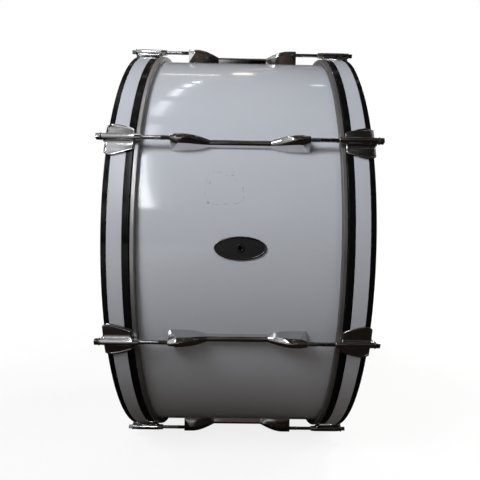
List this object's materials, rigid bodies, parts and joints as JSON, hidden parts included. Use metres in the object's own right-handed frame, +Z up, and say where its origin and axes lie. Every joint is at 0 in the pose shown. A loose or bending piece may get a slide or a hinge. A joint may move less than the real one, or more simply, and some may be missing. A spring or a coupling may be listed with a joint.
{
  "type": "marching bass drum",
  "caption": "Upright marching bass drum: white wrapped shell, black hoops with a white inlay, chrome tube-ended lugs, claw hooks and key-head tension rods, bare oval badge.",
  "frame": {"origin": "middle of the shell: on the drum's axis, halfway between the two heads", "axes": "+X along the drum's axis towards the head that is on the right in the picture; +Z up as the drum is worn and stood, midway between two lugs; the badge and its vent face -Y"},
  "size_m": [0.3704, 0.6778, 0.6778],
  "materials": {
    "shell_wood": "plain sanded plies",
    "white_wrap": "gloss white laminate",
    "head_film": "white, lightly coated",
    "flesh_hoop_metal": "satin",
    "hoop_lacquer": "black gloss lacquer over plies",
    "hoop_inlay": "gloss white strip",
    "chrome": "polished",
    "badge_metal": "dark satin field with a polished rim",
    "eyelet_metal": "plain"
  },
  "bodies": {
    "drum": {"shell": "shell_wood", "wrap": "white_wrap", "badge": "badge_metal", "vent_eyelet": "eyelet_metal", "lug_1": "chrome", "lug_2": "chrome", "lug_3": "chrome", "lug_4": "chrome", "lug_5": "chrome", "lug_6": "chrome", "lug_7": "chrome", "lug_8": "chrome"},
    "left_head": {"left_film": "head_film", "left_flesh_hoop": "flesh_hoop_metal", "left_counterhoop": "hoop_lacquer", "left_inlay": "hoop_inlay", "left_claw_1": "chrome", "left_claw_2": "chrome", "left_claw_3": "chrome", "left_claw_4": "chrome", "left_claw_5": "chrome", "left_claw_6": "chrome", "left_claw_7": "chrome", "left_claw_8": "chrome"},
    "left_rod_1": {"left_rod_1": "chrome"},
    "left_rod_2": {"left_rod_2": "chrome"},
    "left_rod_3": {"left_rod_3": "chrome"},
    "left_rod_4": {"left_rod_4": "chrome"},
    "left_rod_5": {"left_rod_5": "chrome"},
    "left_rod_6": {"left_rod_6": "chrome"},
    "left_rod_7": {"left_rod_7": "chrome"},
    "left_rod_8": {"left_rod_8": "chrome"},
    "right_head": {"right_film": "head_film", "right_flesh_hoop": "flesh_hoop_metal", "right_counterhoop": "hoop_lacquer", "right_inlay": "hoop_inlay", "right_claw_1": "chrome", "right_claw_2": "chrome", "right_claw_3": "chrome", "right_claw_4": "chrome", "right_claw_5": "chrome", "right_claw_6": "chrome", "right_claw_7": "chrome", "right_claw_8": "chrome"},
    "right_rod_1": {"right_rod_1": "chrome"},
    "right_rod_2": {"right_rod_2": "chrome"},
    "right_rod_3": {"right_rod_3": "chrome"},
    "right_rod_4": {"right_rod_4": "chrome"},
    "right_rod_5": {"right_rod_5": "chrome"},
    "right_rod_6": {"right_rod_6": "chrome"},
    "right_rod_7": {"right_rod_7": "chrome"},
    "right_rod_8": {"right_rod_8": "chrome"}
  },
  "joints": [
    {"name": "left_head_slide", "type": "slide", "parent": "drum", "child": "left_head", "axis": [-1, 0, 0], "range_m": [0, 0.01]},
    {"name": "left_rod_1_turn", "type": "hinge", "parent": "left_head", "child": "left_rod_1", "pos_m": [-0.1779, -0.13191, 0.31846], "axis": [-1, 0, 0], "range_deg": [0, 3600]},
    {"name": "left_rod_2_turn", "type": "hinge", "parent": "left_head", "child": "left_rod_2", "pos_m": [-0.1779, -0.31846, 0.13191], "axis": [-1, 0, 0], "range_deg": [0, 3600]},
    {"name": "left_rod_3_turn", "type": "hinge", "parent": "left_head", "child": "left_rod_3", "pos_m": [-0.1779, -0.31846, -0.13191], "axis": [-1, 0, 0], "range_deg": [0, 3600]},
    {"name": "left_rod_4_turn", "type": "hinge", "parent": "left_head", "child": "left_rod_4", "pos_m": [-0.1779, -0.13191, -0.31846], "axis": [-1, 0, 0], "range_deg": [0, 3600]},
    {"name": "left_rod_5_turn", "type": "hinge", "parent": "left_head", "child": "left_rod_5", "pos_m": [-0.1779, 0.13191, -0.31846], "axis": [-1, 0, 0], "range_deg": [0, 3600]},
    {"name": "left_rod_6_turn", "type": "hinge", "parent": "left_head", "child": "left_rod_6", "pos_m": [-0.1779, 0.31846, -0.13191], "axis": [-1, 0, 0], "range_deg": [0, 3600]},
    {"name": "left_rod_7_turn", "type": "hinge", "parent": "left_head", "child": "left_rod_7", "pos_m": [-0.1779, 0.31846, 0.13191], "axis": [-1, 0, 0], "range_deg": [0, 3600]},
    {"name": "left_rod_8_turn", "type": "hinge", "parent": "left_head", "child": "left_rod_8", "pos_m": [-0.1779, 0.13191, 0.31846], "axis": [-1, 0, 0], "range_deg": [0, 3600]},
    {"name": "right_head_slide", "type": "slide", "parent": "drum", "child": "right_head", "axis": [1, 0, 0], "range_m": [0, 0.01]},
    {"name": "right_rod_1_turn", "type": "hinge", "parent": "right_head", "child": "right_rod_1", "pos_m": [0.1779, -0.13191, 0.31846], "axis": [1, 0, 0], "range_deg": [0, 3600]},
    {"name": "right_rod_2_turn", "type": "hinge", "parent": "right_head", "child": "right_rod_2", "pos_m": [0.1779, -0.31846, 0.13191], "axis": [1, 0, 0], "range_deg": [0, 3600]},
    {"name": "right_rod_3_turn", "type": "hinge", "parent": "right_head", "child": "right_rod_3", "pos_m": [0.1779, -0.31846, -0.13191], "axis": [1, 0, 0], "range_deg": [0, 3600]},
    {"name": "right_rod_4_turn", "type": "hinge", "parent": "right_head", "child": "right_rod_4", "pos_m": [0.1779, -0.13191, -0.31846], "axis": [1, 0, 0], "range_deg": [0, 3600]},
    {"name": "right_rod_5_turn", "type": "hinge", "parent": "right_head", "child": "right_rod_5", "pos_m": [0.1779, 0.13191, -0.31846], "axis": [1, 0, 0], "range_deg": [0, 3600]},
    {"name": "right_rod_6_turn", "type": "hinge", "parent": "right_head", "child": "right_rod_6", "pos_m": [0.1779, 0.31846, -0.13191], "axis": [1, 0, 0], "range_deg": [0, 3600]},
    {"name": "right_rod_7_turn", "type": "hinge", "parent": "right_head", "child": "right_rod_7", "pos_m": [0.1779, 0.31846, 0.13191], "axis": [1, 0, 0], "range_deg": [0, 3600]},
    {"name": "right_rod_8_turn", "type": "hinge", "parent": "right_head", "child": "right_rod_8", "pos_m": [0.1779, 0.13191, 0.31846], "axis": [1, 0, 0], "range_deg": [0, 3600]}
  ],
  "couplings": [
    {"joint": "left_rod_1_turn", "follows": "left_head_slide", "rad_per_m": 6283.2},
    {"joint": "left_rod_2_turn", "follows": "left_head_slide", "rad_per_m": 6283.2},
    {"joint": "left_rod_3_turn", "follows": "left_head_slide", "rad_per_m": 6283.2},
    {"joint": "left_rod_4_turn", "follows": "left_head_slide", "rad_per_m": 6283.2},
    {"joint": "left_rod_5_turn", "follows": "left_head_slide", "rad_per_m": 6283.2},
    {"joint": "left_rod_6_turn", "follows": "left_head_slide", "rad_per_m": 6283.2},
    {"joint": "left_rod_7_turn", "follows": "left_head_slide", "rad_per_m": 6283.2},
    {"joint": "left_rod_8_turn", "follows": "left_head_slide", "rad_per_m": 6283.2},
    {"joint": "right_rod_1_turn", "follows": "right_head_slide", "rad_per_m": 6283.2},
    {"joint": "right_rod_2_turn", "follows": "right_head_slide", "rad_per_m": 6283.2},
    {"joint": "right_rod_3_turn", "follows": "right_head_slide", "rad_per_m": 6283.2},
    {"joint": "right_rod_4_turn", "follows": "right_head_slide", "rad_per_m": 6283.2},
    {"joint": "right_rod_5_turn", "follows": "right_head_slide", "rad_per_m": 6283.2},
    {"joint": "right_rod_6_turn", "follows": "right_head_slide", "rad_per_m": 6283.2},
    {"joint": "right_rod_7_turn", "follows": "right_head_slide", "rad_per_m": 6283.2},
    {"joint": "right_rod_8_turn", "follows": "right_head_slide", "rad_per_m": 6283.2}
  ]
}
